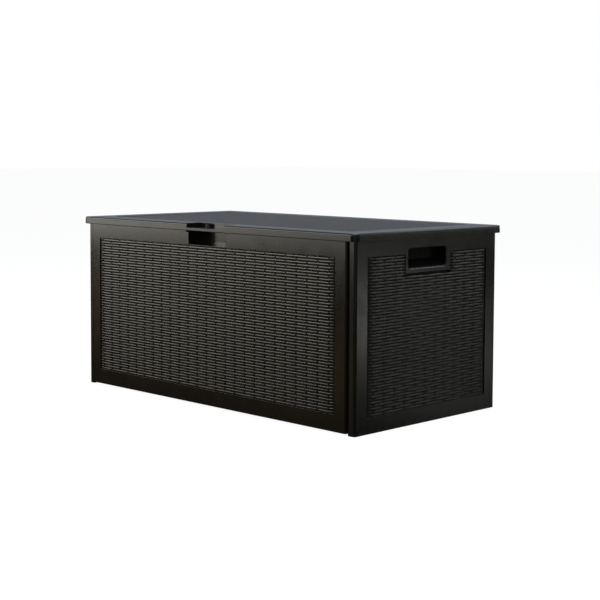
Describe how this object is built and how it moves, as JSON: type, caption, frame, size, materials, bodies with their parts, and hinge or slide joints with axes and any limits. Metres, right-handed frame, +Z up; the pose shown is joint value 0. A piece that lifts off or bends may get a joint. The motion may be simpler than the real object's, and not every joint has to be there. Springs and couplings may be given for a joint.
{
  "type": "deck storage box",
  "caption": "Flat-pack resin deck box with woven-look relief panels, overhanging flat lid on rear hinges, gas struts, front pull pocket with padlock staple, and side hand holds.",
  "frame": {"origin": "on the ground plane under the middle of the box body", "axes": "+X to the right along the front, -Y out of the front face, +Z up"},
  "size_m": [1.224, 0.671, 0.555],
  "materials": {
    "textured_resin": "injection-moulded polypropylene, near-black with a fine satin grain",
    "plain_resin": "injection-moulded polypropylene, plain moulded inside faces",
    "hinge_nylon": "glass-filled nylon, black",
    "zinc_steel": "zinc-plated steel",
    "black_tube": "gloss black paint on steel tube",
    "hard_chrome": "hard-chromed piston rod",
    "black_bracket": "black powder coat on pressed steel",
    "strut_fitting": "black acetal"
  },
  "bodies": {
    "box": {"back_panel": "textured_resin", "body_bracket_screws_left": "zinc_steel", "body_bracket_screws_right": "zinc_steel", "corner_screws_left": "zinc_steel", "corner_screws_right": "zinc_steel", "floor_pads": "plain_resin", "floor_panel": "plain_resin", "front_panel": "textured_resin", "hinge_lower_leaf_centre": "hinge_nylon", "hinge_lower_leaf_left": "hinge_nylon", "hinge_lower_leaf_right": "hinge_nylon", "hinge_panel_screws": "zinc_steel", "hinge_pin_centre": "zinc_steel", "hinge_pin_left": "zinc_steel", "hinge_pin_right": "zinc_steel", "left_side_panel": "textured_resin", "lock_staple": "plain_resin", "right_side_panel": "textured_resin", "strut_body_bracket_left": "black_bracket", "strut_body_bracket_right": "black_bracket"},
    "lid": {"hinge_lid_screws": "zinc_steel", "hinge_upper_leaf_centre": "hinge_nylon", "hinge_upper_leaf_left": "hinge_nylon", "hinge_upper_leaf_right": "hinge_nylon", "lid_bracket_screws_left": "zinc_steel", "lid_bracket_screws_right": "zinc_steel", "lid_inner_liner": "plain_resin", "lid_outer_shell": "textured_resin", "strut_lid_bracket_left": "black_bracket", "strut_lid_bracket_right": "black_bracket"},
    "left_strut_tube": {"strut_gland_left": "strut_fitting", "strut_lower_eye_left": "strut_fitting", "strut_tube_left": "black_tube"},
    "right_strut_tube": {"strut_gland_right": "strut_fitting", "strut_lower_eye_right": "strut_fitting", "strut_tube_right": "black_tube"},
    "left_strut_rod": {"strut_piston_left": "strut_fitting", "strut_rod_left": "hard_chrome", "strut_upper_eye_left": "strut_fitting"},
    "right_strut_rod": {"strut_piston_right": "strut_fitting", "strut_rod_right": "hard_chrome", "strut_upper_eye_right": "strut_fitting"}
  },
  "joints": [
    {"name": "lid_hinge", "type": "hinge", "parent": "box", "child": "lid", "pos_m": [0, 0.336, 0.536], "axis": [-1, 0, 0], "range_deg": [0, 85]},
    {"name": "left_strut_body_pivot", "type": "hinge", "parent": "box", "child": "left_strut_tube", "pos_m": [-0.56, 0.25996, 0.29785], "axis": [-1, 0, 0], "range_deg": [0, 42.5]},
    {"name": "left_strut_lid_pivot", "type": "hinge", "parent": "lid", "child": "left_strut_rod", "pos_m": [-0.56, 0.0862, 0.526], "axis": [-1, 0, 0], "range_deg": [-42.5, 0]},
    {"name": "right_strut_body_pivot", "type": "hinge", "parent": "box", "child": "right_strut_tube", "pos_m": [0.56, 0.25996, 0.29785], "axis": [-1, 0, 0], "range_deg": [0, 42.5]},
    {"name": "right_strut_lid_pivot", "type": "hinge", "parent": "lid", "child": "right_strut_rod", "pos_m": [0.56, 0.0862, 0.526], "axis": [-1, 0, 0], "range_deg": [-42.5, 0]}
  ],
  "couplings": [
    {"joint": "left_strut_body_pivot", "follows": "lid_hinge", "ratio": 0.5},
    {"joint": "left_strut_lid_pivot", "follows": "lid_hinge", "ratio": -0.5},
    {"joint": "right_strut_body_pivot", "follows": "lid_hinge", "ratio": 0.5},
    {"joint": "right_strut_lid_pivot", "follows": "lid_hinge", "ratio": -0.5}
  ]
}
